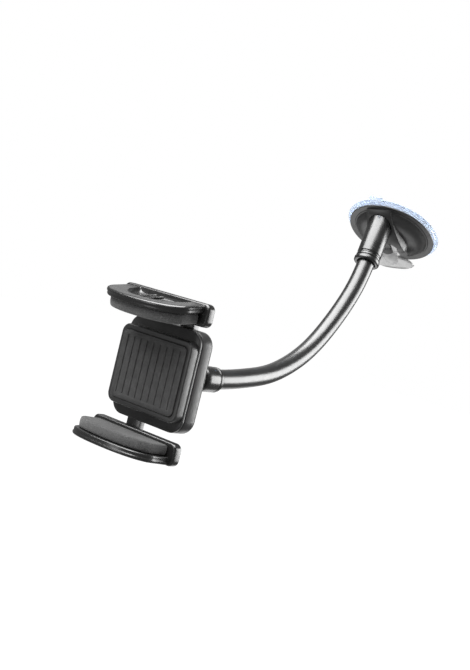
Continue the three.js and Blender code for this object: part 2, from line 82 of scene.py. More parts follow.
OUT_OF_GLASS = -Vector(mounts["suction_face"]["axis"])
BASE_RIGHT = -Vector(joints["lever_swing"]["axis"])
BASE_AT = axes(mounts["suction_face"]["pos_m"], BASE_RIGHT, OUT_OF_GLASS.cross(BASE_RIGHT), OUT_OF_GLASS)
CRADLE_AT = axes(mounts["phone_rest"]["pos_m"])
UPPER_AT = CRADLE_AT
LOWER_AT = CRADLE_AT @ Matrix.Rotation(math.pi, 4, "Y")

SLEEVE_FOOT = (0, 15.4, 6.3)
SLEEVE_LEAN = math.radians(4.5)
SLEEVE_AT = BASE_AT @ Matrix.Translation(SLEEVE_FOOT) @ Matrix.Rotation(SLEEVE_LEAN, 4, "X")
SLEEVE_RADIUS = 7.75
COLLAR_RADIUS = 8.2
COLLAR_MOUTH = 31.6  # along the sleeve
ARM_RADIUS = 5.5
ARM_ROOT_DEPTH = 20.0
ARM_END = Vector((26.1, -168.0, -109.7)) * MM
BALL_CENTRE = Vector(joints["ball_tilt"]["pos_m"])
BALL_BACK = 22.5  # behind the pad's face


# ---------------------------------------------------------------- mesh tools
def work_object(verts, faces, name="work"):
    mesh = bpy.data.meshes.new(name)
    mesh.from_pydata([tuple(v) for v in verts], [], faces)
    mesh.validate()
    obj = bpy.data.objects.new(name, mesh)
    bpy.context.scene.collection.objects.link(obj)
    return obj


def apply_modifiers(obj):
    bpy.context.view_layer.update()
    shaped = obj.evaluated_get(bpy.context.evaluated_depsgraph_get())
    mesh = bpy.data.meshes.new_from_object(shaped)
    obj.modifiers.clear()
    obj.data = mesh
    return obj


def combine(operation, body, *tools):
    """Exact boolean of a body and its tools, which are used up."""
    for tool in tools:
        modifier = body.modifiers.new("combine", "BOOLEAN")
        modifier.operation = operation
        modifier.solver = "EXACT"
        modifier.object = tool
        apply_modifiers(body)
        bpy.data.objects.remove(tool)
    return body


def join(body, *tools):
    return combine("UNION", body, *tools)


def cut(body, *tools):
    return combine("DIFFERENCE", body, *tools)


def eased(body, width, segments=3, angle=32):
    """Rounds the sharp edges."""
    weld = body.modifiers.new("weld", "WELD")
    weld.merge_threshold = 0.002
    bevel = body.modifiers.new("bevel", "BEVEL")
    bevel.width = width
    bevel.segments = segments
    bevel.limit_method = "ANGLE"
    bevel.angle_limit = math.radians(angle)
    bevel.miter_outer = "MITER_ARC"
    return apply_modifiers(body)


def skin(rings, closed=False):
    """Quads between rings of equal length; the first and last ring are capped unless closed."""
    count = len(rings[0])
    verts = [v for ring in rings for v in ring]
    faces = []
    steps = len(rings) if closed else len(rings) - 1
    for i in range(steps):
        a, b = i * count, ((i + 1) % len(rings)) * count
        for j in range(count):
            k = (j + 1) % count
            faces.append((a + j, a + k, b + k, b + j))
    if not closed:
        faces.append(tuple(range(count))[::-1])
        faces.append(tuple(range((len(rings) - 1) * count, len(rings) * count)))
    return work_object(verts, faces)


def soften(points, radius, steps=4, closed=True):
    """Rounds the corners of a flat path; radius is one number, or one for each point."""
    count = len(points)
    radii = [radius] * count if np.isscalar(radius) else list(radius)
    path = []
    for i, corner in enumerate(points):
        corner = Vector(corner)
        end = not closed and i in (0, count - 1)
        if end or radii[i] == 0:
            path.append(tuple(corner))
            continue
        before = Vector(points[i - 1]) - corner
        after = Vector(points[(i + 1) % count]) - corner
        first = corner + before.normalized() * min(radii[i], before.length / 2)
        last = corner + after.normalized() * min(radii[i], after.length / 2)
        for s in range(steps + 1):
            t = s / steps
            path.append(tuple(first * (1 - t) ** 2 + corner * 2 * t * (1 - t) + last * t * t))
    return path


def lathe(profile, sides=96, flute=None):
    """Turns (radius, height) points about Z. A profile that starts and ends on the axis makes a
    solid; any other closes on itself as a ring. flute gives a radius change for (angle, point)."""
    on_axis = profile[0][0] == 0
    body = profile[1:-1] if on_axis else profile
    verts, faces = [], []
    for r, h in body:
        for j in range(sides):
            angle = 2 * math.pi * j / sides
            radius = r + (flute(angle, r, h) if flute else 0)
            verts.append((radius * math.cos(angle), radius * math.sin(angle), h))
    rows = len(body)
    for i in range(rows - 1 if on_axis else rows):
        a, b = i * sides, ((i + 1) % rows) * sides
        for j in range(sides):
            k = (j + 1) % sides
            faces.append((a + j, a + k, b + k, b + j))
    if on_axis:
        low, high = len(verts), len(verts) + 1
        verts += [(0, 0, profile[0][1]), (0, 0, profile[-1][1])]
        last = (rows - 1) * sides
        for j in range(sides):
            k = (j + 1) % sides
            faces.append((low, k, j))
            faces.append((high, last + j, last + k))
    return work_object(verts, faces)


def lathe_y(profile, sides=96, flute=None):
    """The same about Y: heights run backwards from the pad's face."""
    body = lathe(profile, sides, flute)
    body.data.transform(Matrix.Rotation(-math.pi / 2, 4, "X"))
    return body


def prism(outline, low, high, along="Z"):
    """A flat outline pushed from low to high: drawn in XY and pushed along Z, drawn in XZ and
    pushed along Y, or drawn in YZ and pushed along X."""
    if along == "Z":
        return skin([[(x, y, h) for x, y in outline] for h in (low, high)])
    if along == "Y":
        return skin([[(x, h, z) for x, z in outline] for h in (high, low)])
    return skin([[(h, y, z) for y, z in outline] for h in (low, high)])


def rounded_rect(x0, x1, y0, y1, r, steps=8):
    corners = ((x1 - r, y1 - r, 0), (x0 + r, y1 - r, 90), (x0 + r, y0 + r, 180), (x1 - r, y0 + r, 270))
    points = []
    for cx, cy, start in corners:
        for s in range(steps + 1):
            angle = math.radians(start + 90 * s / steps)
            points.append((cx + r * math.cos(angle), cy + r * math.sin(angle)))
    return points


def block(x0, x1, y0, y1, z0, z1):
    return prism([(x0, y0), (x1, y0), (x1, y1), (x0, y1)], z0, z1)


def turns(sides):
    """Angles all the way round."""
    return np.linspace(0, 2 * math.pi, sides, False)


def circle(radius, sides, x=0, y=0):
    return [(x + radius * math.cos(a), y + radius * math.sin(a)) for a in turns(sides)]


def bar_y(radius, y0, y1, x=0, z=0, sides=48):
    return prism(circle(radius, sides, x, z), y0, y1, "Y")


def bar_z(radius, z0, z1, sides=64):
    return prism(circle(radius, sides), z0, z1)


def through(points, samples):
    """A smooth curve through points of any dimension, sampled at distances measured along the
    straight lines between them, and the points' own distances."""
    points = [np.array(p, float) for p in points]
    steps = [np.linalg.norm(b - a) for a, b in zip(points, points[1:])]
    knots = np.concatenate([[0], np.cumsum(steps)])
    slopes = [(points[1] - points[0]) / (knots[1] - knots[0])]
    for i in range(1, len(points) - 1):
        before = (points[i] - points[i - 1]) / (knots[i] - knots[i - 1])
        after = (points[i + 1] - points[i]) / (knots[i + 1] - knots[i])
        share = (knots[i] - knots[i - 1]) / (knots[i + 1] - knots[i - 1])
        slopes.append(before * (1 - share) + after * share)
    slopes.append((points[-1] - points[-2]) / (knots[-1] - knots[-2]))
    curve = []
    for s in samples:
        i = min(max(int(np.searchsorted(knots, s, "right")) - 1, 0), len(points) - 2)
        width = knots[i + 1] - knots[i]
        t = (s - knots[i]) / width
        start = points[i] * (2 * t**3 - 3 * t**2 + 1) + slopes[i] * width * (t**3 - 2 * t**2 + t)
        end = points[i + 1] * (3 * t**2 - 2 * t**3) + slopes[i + 1] * width * (t**3 - t**2)
        curve.append(start + end)
    return np.array(curve), knots


def piece(name, obj, at, body, material, replaces=(), sharp=35):
    """Puts a finished shape in the frame and gives it its finish and the body it rides on."""
    obj.data.transform(at)
    obj.name = name
    obj.data.name = name
    obj.data.shade_smooth()
    obj.data.set_sharp_from_angle(angle=math.radians(sharp))
    obj.data.materials.clear()
    obj.data.materials.append(material)
    if body:
        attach(obj, body)
    if replaces:
        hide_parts(*replaces)
    return obj


# ---------------------------------------------------------------- materials
class Finish:
    """A Principled material whose colour, roughness and bump vary over the surface."""

    def __init__(self, name, color, roughness, metallic=0.0, coat=0.0, specular=0.5):
        self.material = bpy.data.materials.new(name)
        self.material.use_nodes = True
        self.nodes = self.material.node_tree.nodes
        self.links = self.material.node_tree.links
        self.shader = self.nodes["Principled BSDF"]
        self.set("Base Color", (*color, 1))
        self.set("Roughness", roughness)
        self.set("Metallic", metallic)
        self.set("Coat Weight", coat)
        self.set("Coat Roughness", 0.3)
        self.set("Specular IOR Level", specular)
        coordinates = self.nodes.new("ShaderNodeTexCoord")
        self.position = coordinates.outputs["Object"]
        self.bumps = None

    def set(self, socket, value):
        self.shader.inputs[socket].default_value = value

    def noise(self, scale, detail=3.0, stretch=(1, 1, 1)):
        mapping = self.nodes.new("ShaderNodeMapping")
        mapping.inputs["Scale"].default_value = stretch
        self.links.new(self.position, mapping.inputs["Vector"])
        texture = self.nodes.new("ShaderNodeTexNoise")
        texture.inputs["Scale"].default_value = scale
        texture.inputs["Detail"].default_value = detail
        self.links.new(mapping.outputs["Vector"], texture.inputs["Vector"])
        return texture.outputs["Fac"]

    def cells(self, scale):
        texture = self.nodes.new("ShaderNodeTexVoronoi")
        texture.inputs["Scale"].default_value = scale
        self.links.new(self.position, texture.inputs["Vector"])
        return texture.outputs["Distance"]

    def spread(self, source, low, high, start=0.3, end=0.7):
        """The source's values from start to end, mapped to low to high."""
        node = self.nodes.new("ShaderNodeMapRange")
        node.inputs["From Min"].default_value = start
        node.inputs["From Max"].default_value = end
        node.inputs["To Min"].default_value = low
        node.inputs["To Max"].default_value = high
        self.links.new(source, node.inputs["Value"])
        return node.outputs["Result"]

    def color(self, source, stops):
        ramp = self.nodes.new("ShaderNodeValToRGB")
        elements = ramp.color_ramp.elements
        while len(elements) < len(stops):
            elements.new(0.5)
        for element, (place, shade) in zip(elements, stops):
            element.position = place
            element.color = (*shade, 1)
        self.links.new(source, ramp.inputs["Fac"])
        self.links.new(ramp.outputs["Color"], self.shader.inputs["Base Color"])

    def rough(self, source, low, high):
        self.links.new(self.spread(source, low, high), self.shader.inputs["Roughness"])

    def bump(self, source, strength, depth):
        node = self.nodes.new("ShaderNodeBump")
        node.inputs["Strength"].default_value = strength
        node.inputs["Distance"].default_value = depth
        self.links.new(source, node.inputs["Height"])
        if self.bumps:
            self.links.new(self.bumps, node.inputs["Normal"])
        self.bumps = node.outputs["Normal"]
        self.links.new(self.bumps, self.shader.inputs["Normal"])


def grey(value):
    return (value, value, value)


def gloss_plastic():
    finish = Finish("gloss_black_plastic", grey(0.004), 0.27, coat=0.2, specular=0.7)
    finish.color(finish.noise(90, 4), [(0.3, grey(0.003)), (0.7, grey(0.006))])
    finish.rough(finish.noise(260, 5), 0.23, 0.31)
    finish.bump(finish.noise(5200, 2), 0.03, 0.00003)
    return finish.material


def satin_plastic():
    finish = Finish("satin_black_plastic", grey(0.014), 0.36, coat=0.1, specular=0.5)
    finish.color(finish.noise(110, 4), [(0.3, grey(0.011)), (0.7, grey(0.018))])
    finish.rough(finish.noise(420, 5), 0.32, 0.44)
    finish.bump(finish.cells(5200), 0.12, 0.00005)
    return finish.material


def sheath_plastic():
    finish = Finish("arm_sheath_plastic", grey(0.004), 0.31, coat=0.2, specular=0.8)
    finish.color(finish.noise(70, 4), [(0.3, grey(0.003)), (0.7, grey(0.006))])
    finish.rough(finish.noise(300, 4), 0.28, 0.34)
    finish.bump(finish.noise(5200, 2), 0.03, 0.00003)
    return finish.material


def lever_plastic():
    finish = Finish("grey_lever_plastic", grey(0.28), 0.35, coat=0.1)
    finish.color(finish.noise(140, 4), [(0.3, grey(0.25)), (0.7, grey(0.31))])
    finish.rough(finish.noise(500, 5), 0.3, 0.42)
    finish.bump(finish.cells(4200), 0.12, 0.00006)
    return finish.material


def nylon():
    finish = Finish("white_nylon", (0.74, 0.72, 0.67), 0.4)
    finish.color(finish.noise(160, 4), [(0.3, (0.7, 0.68, 0.63)), (0.7, (0.78, 0.76, 0.71))])
    finish.rough(finish.noise(600, 4), 0.35, 0.48)
    finish.bump(finish.noise(3000, 2), 0.08, 0.00005)
    return finish.material


def steel():
    finish = Finish("drawn_steel", grey(0.6), 0.3, metallic=1.0)
    finish.color(finish.noise(220, 4), [(0.3, grey(0.5)), (0.7, grey(0.66))])
    finish.rough(finish.noise(900, 3, (1, 12, 1)), 0.22, 0.4)
    finish.bump(finish.noise(2600, 2, (1, 14, 1)), 0.1, 0.00004)
    return finish.material


def pad_rubber():
    finish = Finish("pad_rubber", grey(0.02), 0.7)
    finish.color(finish.noise(180, 4), [(0.3, grey(0.016)), (0.7, grey(0.028))])
    finish.rough(finish.noise(700, 4), 0.62, 0.8)
    finish.bump(finish.cells(3600), 0.2, 0.00008)
    return finish.material


def eva_foam():
    """Closed-cell foam: dark grey with paler and darker flecks, and open pores."""
    finish = Finish("grey_eva_foam", grey(0.035), 0.95, specular=0.2)
    finish.set("Sheen Weight", 0.1)
    finish.set("Sheen Roughness", 0.6)
    finish.color(finish.noise(2600, 4), [
        (0.3, grey(0.014)), (0.46, grey(0.034)), (0.56, grey(0.052)), (0.72, grey(0.095))])
    finish.bump(finish.noise(900, 3), 0.2, 0.0002)
    finish.bump(finish.cells(3200), 0.4, 0.00012)
    return finish.material


def cup_gel():
    """Clear soft plastic with a pale blue cast."""
    finish = Finish("pale_blue_gel", (0.72, 0.81, 0.95), 0.12, specular=0.6)
    finish.set("Transmission Weight", 0.72)
    finish.set("IOR", 1.45)
    finish.color(finish.noise(60, 3), [(0.3, (0.66, 0.76, 0.93)), (0.7, (0.78, 0.86, 0.98))])
    finish.rough(finish.noise(240, 4), 0.08, 0.2)
    finish.bump(finish.noise(380, 3), 0.12, 0.0003)
    return finish.material


GLOSS = gloss_plastic()
SATIN = satin_plastic()
SHEATH = sheath_plastic()
LEVER = lever_plastic()
NYLON = nylon()
STEEL = steel()
RUBBER = pad_rubber()
FOAM = eva_foam()
GEL = cup_gel()


# ---------------------------------------------------------------- camera, light and floor
CAMERA_PLACE = (0.500232, -0.672530, -0.039952)
CAMERA_TURN = (86.3652, -13.6979, 43.1984)  # degrees about X, Y, Z
CAMERA_LENS = 68.88
FLOOR_BELOW = 0.5  # from the lowest point of the mount to the floor
FLOOR_HALF = 6.0
AMBIENT = 0.22  # strength of the white surroundings in everything but the camera's own view
SOFTBOXES = (  # name, direction from the mount, distance, size, brightness
    ("overhead_softbox", (-0.15, -0.36, 0.92), 1.1, (1.35, 1.5), 11.0),
    ("side_softbox", (0.56, 0.82, 0.08), 1.1, (0.72, 0.85), 9.0),
    ("front_softbox", (-0.35, -0.93, 0.05), 1.3, (0.3, 0.9), 3.0),
    ("far_softbox", (-0.67, 0.66, 0.36), 1.2, (0.7, 0.26), 0.6),
    ("low_softbox", (-0.43, 0.32, -0.85), 0.45, (0.5, 0.42), 1.6),
)


def camera():
    data = bpy.data.cameras.new("camera")
    data.lens = CAMERA_LENS
    data.sensor_width = 36
    data.sensor_fit = "AUTO"
    data.clip_start = 0.01
    obj = bpy.data.objects.new("camera", data)
    obj.location = CAMERA_PLACE
    obj.rotation_euler = [math.radians(a) for a in CAMERA_TURN]
    bpy.context.scene.collection.objects.link(obj)
    bpy.context.scene.camera = obj


def softbox(name, direction, distance, size, brightness):
    """A rectangular light seen from the mount in a direction, of an even brightness."""
    data = bpy.data.lights.new(name, "AREA")
    data.shape = "RECTANGLE"
    data.size, data.size_y = size
    data.energy = brightness * math.pi * size[0] * size[1]
    obj = bpy.data.objects.new(name, data)
    toward = Vector(direction).normalized()
    obj.location = (Vector(cad_bounds[0]) + Vector(cad_bounds[1])) / 2 + toward * distance
    obj.rotation_euler = (-toward).to_track_quat("-Z", "Y").to_euler()
    obj.visible_camera = False
    bpy.context.scene.collection.objects.link(obj)


def surroundings():
    """White where the camera sees them, dim in reflections, so that the softboxes stand out."""
    world = bpy.data.worlds.new("studio")
    bpy.context.scene.world = world
    world.use_nodes = True
    nodes, links = world.node_tree.nodes, world.node_tree.links
    path = nodes.new("ShaderNodeLightPath")
    seen = nodes.new("ShaderNodeMath")
    seen.operation = "MAXIMUM"
    links.new(path.outputs["Is Camera Ray"], seen.inputs[0])
    links.new(path.outputs["Is Transmission Ray"], seen.inputs[1])
    strength = nodes.new("ShaderNodeMapRange")
    strength.inputs["To Min"].default_value = AMBIENT
    strength.inputs["To Max"].default_value = 1.0
    links.new(seen.outputs["Value"], strength.inputs["Value"])
    links.new(strength.outputs["Result"], nodes["Background"].inputs["Strength"])
    nodes["Background"].inputs["Color"].default_value = (1, 1, 1, 1)


def pale_floor():
    """A plain white floor that runs into the white surroundings."""
    height = cad_bounds[0][2] - FLOOR_BELOW
    corners = [(x * FLOOR_HALF, y * FLOOR_HALF, height) for x, y in ((-1, -1), (1, -1), (1, 1), (-1, 1))]
    floor = work_object(corners, [(0, 1, 2, 3)], "floor")
    paint = Finish("floor_paint", grey(0.3), 0.9, specular=0.0)
    paint.color(paint.noise(3, 3), [(0.3, grey(0.28)), (0.7, grey(0.32))])
    paint.set("Emission Color", (1, 1, 1, 1))
    paint.set("Emission Strength", 0.96)
    floor.data.materials.append(paint.material)
    floor.visible_glossy = False


def studio():
    bpy.context.scene.view_settings.view_transform = "Standard"
    for box in SOFTBOXES:
        softbox(*box)
    surroundings()
    pale_floor()


# ---------------------------------------------------------------- suction base
def suction_cup():
    """The gel disc with its stepped rim, a pocket for the stem's foot, and the pull tab."""
    rim = soften([(0, 0), (30.1, 0), (30.6, 0.5), (30.3, 1.0), (29.5, 1.2), (29.2, 1.9), (28.8, 2.6),
                  (9.4, 2.6), (9.4, 1.4), (0, 1.4)],
                 [0, 0.3, 0.3, 0.3, 0.3, 0.3, 0.3, 0.2, 0.2, 0], closed=False)
    disc = lathe(rim, 128)
    tab = eased(prism(rounded_rect(-4.5, 4.5, 27, 35, 3), 0.5, 1.6), 0.3)
    bead = eased(prism(rounded_rect(-3.9, 3.9, 32.6, 34.6, 0.9), 1.0, 2.3), 0.4)
    piece("suction_cup_gel", join(disc, tab, bead), BASE_AT, "base", GEL, ["suction_cup"], 50)


def ridge():
    """The raised rib that carries the sleeve, from the flange's edge to the lever's bay."""
    along = [  # y, half width, height
        (25.4, 8.7, 4.4), (24.3, 9.0, 5.8), (20.5, 9.6, 8.0), (15, 10.4, 10.8), (9, 11.3, 13.1),
        (2, 12.3, 14.9), (-4, 12.6, 14.9), (-8, 11.7, 13.2), (-11, 10.6, 8.6)]
    rings = []
    for y, half, top in through(along, np.linspace(0, 41.9, 46))[0]:
        section = soften([(-half, 3.0), (half, 3.0), (half - 0.9, top - 0.7), (half * 0.45, top + 0.3),
                          (-half * 0.45, top + 0.3), (-half + 0.9, top - 0.7)], [0, 0, 0.5, 4, 4, 0.5], 5)
        rings.append([(x, y, z) for x, z in section])
    return skin(rings)


def base_cover():
    """Flange, dome and ridge in one moulding, hollowed for the lever, the stem and the sleeve."""
    profile = soften([(0, 2.9), (28.1, 2.9), (28.5, 3.3), (28.2, 4.0), (27.5, 3.9), (24.9, 3.5),
                      (24.5, 4.0), (23.9, 4.0), (23.5, 4.5), (21.6, 6.9), (18.5, 8.6), (13, 9.6), (0, 10)],
                     [0, 0.2, 0.3, 0.3, 0.2, 0.2, 0.2, 0.2, 0.4, 1.6, 2.4, 3, 0], closed=False)
    body = join(lathe(profile, 128), ridge())
    arch = prism(rounded_rect(-9.2, 9.2, -20, 4.4, 9.1, 14), 6.9, 20)
    mouth = prism([(-7.6, -9), (-6.3, -27), (6.3, -27), (7.6, -9)], 4.4, 20)
    foot_room = bar_z(9.5, 2, 5.3)
    stem_hole = bar_z(3.6, 5, 8, 32)
    socket = bar_z(SLEEVE_RADIUS + 0.25, -0.3, 30)
    socket.data.transform(Matrix.Translation(SLEEVE_FOOT) @ Matrix.Rotation(SLEEVE_LEAN, 4, "X"))
    body = eased(cut(body, arch, mouth, foot_room, stem_hole, socket), 0.32)
    piece("base_cover_shell", body, BASE_AT, "base", SATIN, ["base_cover"], 40)


def neck():
    """The sleeve with a groove near its mouth, and the stepped collar beyond it."""
    groove = SLEEVE_RADIUS - 0.5
    sleeve = lathe(soften([(0, 0), (SLEEVE_RADIUS, 0), (SLEEVE_RADIUS, 25.2), (groove, 25.5),
                           (groove, 26.2), (6, 26.2), (6, 2), (0, 2)],
                          [0, 0.3, 0.35, 0.1, 0.1, 0.3, 0.3, 0], closed=False))
    piece("neck_sleeve_tube", sleeve, SLEEVE_AT, "base", GLOSS, ["neck_sleeve"])
    collar = lathe(soften([(6.0, 26.4), (7.3, 26.4), (7.7, 26.8), (7.7, 27.9), (7.35, 28.2),
                           (7.35, 28.6), (COLLAR_RADIUS, 29.0), (COLLAR_RADIUS, 30.9),
                           (7.5, COLLAR_MOUTH), (6.0, COLLAR_MOUTH)],
                          [0.2, 0.2, 0.3, 0.3, 0.1, 0.1, 0.4, 0.6, 0.5, 0.3]))
    piece("collar", collar, SLEEVE_AT, "base", GLOSS, ["collar_ring"])


PIN_HEIGHT = 11.3
PIN_ROOM = 1.45  # radius of the lever's pin hole
STEM_CLEARANCE = 3.7
HEEL = 4.1  # from the pin down to the cam's heel
STEM_TRAVEL = 1.7
LEVER_OPEN = math.radians(55)
FORK_HALF = 6.9
EGG_FOOT = 12.6
RIB_RADIUS = 0.42
RIB_SINK = 0.3  # how far the ribs sit in the thumb plate


def cam_outline():
    """The heel's height falls evenly while the lever opens, and then stays."""
    fall = STEM_TRAVEL / LEVER_OPEN
    points = []
    for turn in np.linspace(0, LEVER_OPEN, 14):
        height, c, s = HEEL - fall * turn, math.cos(turn), math.sin(turn)
        points.append((height * s - fall * c, PIN_HEIGHT - height * c - fall * s))
    radius = HEEL - STEM_TRAVEL
    for turn in np.linspace(LEVER_OPEN, math.pi, 16):
        points.append((radius * math.sin(turn), PIN_HEIGHT - radius * math.cos(turn)))
    return points


def wing_lift(x):
    """How far the thumb plate curls up at a distance from its middle."""
    return 1.1 * (abs(x) / 13.9) ** 2.5


def thumb_plate():
    """Flat rounded sections from the fork to the plate's front edge."""
    along = [  # y, half width, top, underside
        (-0.5, 6.2, 13.6, 9.0), (-3.5, 6.5, 14.5, 9.2), (-6.5, 5.3, 15.2, 10.6), (-9, 5.0, 15.6, 11.9),
        (-11, 7.2, 15.7, 12.4), (-13, 11.6, 15.6, 12.5), (-16, 13.9, 15.6, 12.4),
        (-19.5, 13.2, 15.6, 12.3), (-21.6, 11.0, 15.1, 12.3), (-23.4, 7.6, 14.2, 12.2),
        (-24.5, 3.6, 13.2, 12.2)]
    rings = []
    for y, half, top, low in through(along, np.linspace(0, 39.4, 60))[0]:
        middle, thick = (top + low) / 2, (top - low) / 2
        ring = []
        for a in turns(56):
            c, s = math.cos(a), math.sin(a)
            x = half * math.copysign(abs(c) ** 0.7, c)
            ring.append((x, y, middle + wing_lift(x) + thick * math.copysign(abs(s) ** 0.75, s)))
        rings.append(ring)
    return skin(rings)


def egg():
    """The full, pointed neck that rises from the thumb plate into the bay."""
    along = [  # y, half width, top
        (-1.8, 0.6, 13.2), (-3.4, 3.0, 15.0), (-6.5, 5.0, 17.1), (-10, 5.9, 18.2),
        (-13.5, 5.6, 17.8), (-16.6, 4.2, 16.7), (-19, 1.4, 15.2)]
    rings = []
    for y, half, top in through(along, np.linspace(0, 23.5, 26))[0]:
        arch = [(half * math.cos(a), y, EGG_FOOT + (top - EGG_FOOT) * math.sin(a))
                for a in np.linspace(0, math.pi, 25)]
        rings.append(arch + [(0, y, EGG_FOOT)])
    return skin(rings[::-1])


def thumb_rib(height, reach):
    """A round rib along the thumb plate's front edge."""
    edge = [(-12.2, -20.3), (-8.6, -22.9), (-4, -24.15), (0, -24.4), (4, -24.15), (8.6, -22.9),
            (12.2, -20.3)]
    rings = []
    for x, y in through(edge, np.linspace(0, 27.3, 30))[0]:
        out = Vector((x, y + 12)).normalized()
        ring = []
        for a in turns(10):
            away = reach + RIB_RADIUS * math.cos(a) - RIB_SINK
            ring.append((x + out.x * away, y + out.y * away,
                         height + wing_lift(x) + RIB_RADIUS * math.sin(a)))
        rings.append(ring)
    return skin(rings)


def lever():
    """A cam fork on the pin, an egg-shaped neck, and a wide thumb plate with two ribs."""
    cam = cam_outline() + [(-4.5, 14.4), (-5.5, 10.5), (-3.2, 7.4)]
    body = join(thumb_plate(), prism(cam, -FORK_HALF, FORK_HALF, "X"), egg())
    slot = block(-STEM_CLEARANCE, STEM_CLEARANCE, -5.6, 6, 0, 20)
    pin_hole = prism(circle(PIN_ROOM, 32, 0, PIN_HEIGHT), -9, 9, "X")
    body = eased(cut(body, slot, pin_hole), 0.3)
    for height, reach in ((12.9, 0.4), (14.5, -0.6)):
        body = join(body, thumb_rib(height, reach))
    piece("lock_lever_plate", body, BASE_AT, "lever", LEVER, ["lock_lever"], 40)


# ---------------------------------------------------------------- gooseneck arm
ARM_SIDES = 40
ARM_SPACING = 0.0015  # between the sheath's rings
ARM_WALL = 1.2
PAST_ARM_END = 0.0005


def arm():
    """One smooth sheath in five lengths. Each runs across its own joint, and they meet midway."""
    root = SLEEVE_AT @ Vector((0, 0, COLLAR_MOUTH - ARM_ROOT_DEPTH))
    mouth = SLEEVE_AT @ Vector((0, 0, COLLAR_MOUTH))
    bends = [Vector(joints[f"arm_bend_{i}"]["pos_m"]) for i in range(1, 6)]
    knots_at = [root, mouth, *bends, ARM_END, ARM_END + (BALL_CENTRE - ARM_END).normalized() * 0.004]
    _, knots = through(knots_at, [0])
    bend_at = knots[2:7]
    ends = [0, *((bend_at[:-1] + bend_at[1:]) / 2), knots[7] + PAST_ARM_END]
    across = Vector((1, 0, 0))
    for i in range(5):
        count = max(2, round((ends[i + 1] - ends[i]) / ARM_SPACING))
        samples = np.linspace(ends[i], ends[i + 1], count + 1)
        centres, _ = through(knots_at, samples)
        ahead, _ = through(knots_at, samples + 1e-5)
        outer, inner = [], []
        for centre, nxt in zip(centres, ahead):
            along = Vector(nxt - centre).normalized()
            across = across - along * along.dot(across)
            across.normalize()
            side = along.cross(across)
            ring = [across * math.cos(a) + side * math.sin(a) for a in turns(ARM_SIDES)]
            outer.append([Vector(centre) + r * ARM_RADIUS * MM for r in ring])
            inner.append([Vector(centre) + r * (ARM_RADIUS - ARM_WALL) * MM for r in ring])
        tube = skin(outer + inner[::-1], closed=True)
        node = ["arm_sheath_0", "arm_sheath_1"] if i == 0 else [f"arm_sheath_{i + 1}"]
        obj = piece(f"arm_skin_{i + 1}", tube, Matrix.Identity(4), None, SHEATH, node, 50)
        tangent = Vector(through(knots_at, [bend_at[i] + 1e-4])[0][0] - np.array(bends[i])).normalized()
        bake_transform(obj)


BALL_RADIUS = 7
NECK_ANGLE = math.radians(27.2)  # where the stud's neck meets the ball


def ferrule_and_stud():
    """The crimped cap on the arm's end, and the ball on its neck."""
    along = (BALL_CENTRE - ARM_END).normalized()
    across = Vector((1, 0, 0)) - along * along.x
    across.normalize()
    at = axes(ARM_END, across, along.cross(across), along)
    length = (BALL_CENTRE - ARM_END).length / MM
    ferrule = lathe(soften([(2.8, 0.8), (5.9, 0.8), (5.9, -8.8), (6.6, -9), (7.0, -8.4), (7.0, -6.9),
                            (6.75, -6.6), (6.75, -6.1), (7.0, -5.8), (7.2, 1.6), (6.8, 3.4), (5.6, 4),
                            (2.8, 4)],
                           [0.1, 0.2, 0.2, 0.2, 0.4, 0.2, 0.1, 0.1, 0.2, 1, 1, 0.6, 0.2]))
    piece("arm_ferrule_cap", ferrule, at, "arm_5", GLOSS, ["arm_ferrule"])
    ball = [(BALL_RADIUS * math.sin(a), length - BALL_RADIUS * math.cos(a))
            for a in np.linspace(NECK_ANGLE, math.pi, 40)]
    ball[-1] = (0, length + BALL_RADIUS)
    stud = lathe([(0, 1), (2.5, 1), (2.5, 4.3), (3.0, 4.3), (3.2, 4.6), (3.2, length - 6.6), *ball], 64)
    piece("ball_stud_turned", stud, at, "arm_5", GLOSS, ["ball_stud"])


# ---------------------------------------------------------------- locking nut
NUT_FRONT, NUT_BACK, NUT_RADIUS = 19.5, 30.4, 15.2
NUT_LOBES = 12
SCALLOP_FROM, SCALLOP_DEPTH = 13.2, 1.25
CUP_RADIUS = 8.7  # the hollow in nut and housing that holds the bushes


def scallop(angle, r, h):
    """How far the nut's side is drawn in between its lobes."""
    if r < SCALLOP_FROM:
        return 0
    wave = 0.5 + 0.5 * math.cos(NUT_LOBES * angle)
    fade = min(1, (r - SCALLOP_FROM) / 1.2)
    return -SCALLOP_DEPTH * fade * wave**3


def lock_nut():
    lip = [(CUP_RADIUS * math.sin(a), BALL_BACK + CUP_RADIUS * math.cos(a))
           for a in np.linspace(math.radians(45), math.radians(73), 8)]
    outside = soften([(12.3, NUT_FRONT), (14.5, NUT_FRONT), (NUT_RADIUS, NUT_FRONT + 0.9),
                      (NUT_RADIUS, NUT_BACK - 3), (14.2, NUT_BACK - 1.2), (12.6, NUT_BACK),
                      (9.2, NUT_BACK), (8.6, NUT_BACK - 0.5)],
                     [0.2, 0.3, 0.5, 1.2, 0.8, 0.7, 0.4, 0.3], 4, closed=False)
    nut = lathe_y(outside + lip + [(8.6, 24.95), (12.3, 24.95)], 240, scallop)
    piece("lock_nut_grip", nut, CRADLE_AT, "nut", SATIN, ["lock_nut"], 38)


# ---------------------------------------------------------------- cradle housing
HOUSING_HALF = 27.0
SCREW_X, SCREW_Z = 22.3, 17.5
SCREWS = {1: (SCREW_X, SCREW_Z), 4: (SCREW_X, -SCREW_Z), 2: (-SCREW_X, SCREW_Z), 3: (-SCREW_X, -SCREW_Z)}


def shell(half, corner, profile):
    """A square shell: each profile point is an inset and a depth."""
    rings = []
    for inset, y in profile:
        edge = half - inset
        outline = rounded_rect(-edge, edge, -edge, edge, corner - min(inset, 5), 10)
        rings.append([(x, y, z) for x, z in outline])
    return skin(rings[::-1])


